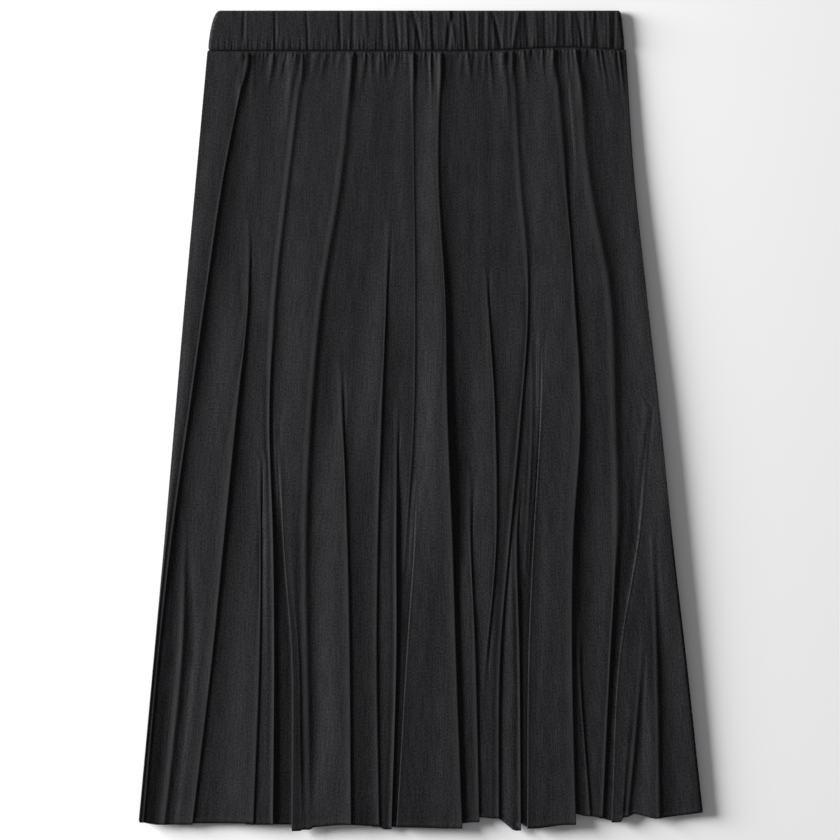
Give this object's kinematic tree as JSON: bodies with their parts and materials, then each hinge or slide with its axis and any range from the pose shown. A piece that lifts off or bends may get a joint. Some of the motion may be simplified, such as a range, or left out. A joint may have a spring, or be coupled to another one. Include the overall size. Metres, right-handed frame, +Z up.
{
  "type": "pleated midi skirt",
  "caption": "Flared pleated skirt with a ruched elastic waistband, laid flat; irregular pressed folds lap over each other towards the stepped hem.",
  "frame": {"origin": "middle of the laid garment's footprint, on the surface that it lies on", "axes": "+Z up from the surface through the front panel, +Y from the hem towards the waist, +X to the right as seen from above"},
  "size_m": [0.462, 0.6722, 0.0177],
  "materials": {
    "black_suiting": "matte"
  },
  "bodies": {
    "root": {"waistband": "black_suiting", "skirt_front": "black_suiting", "skirt_back": "black_suiting"}
  },
  "joints": []
}
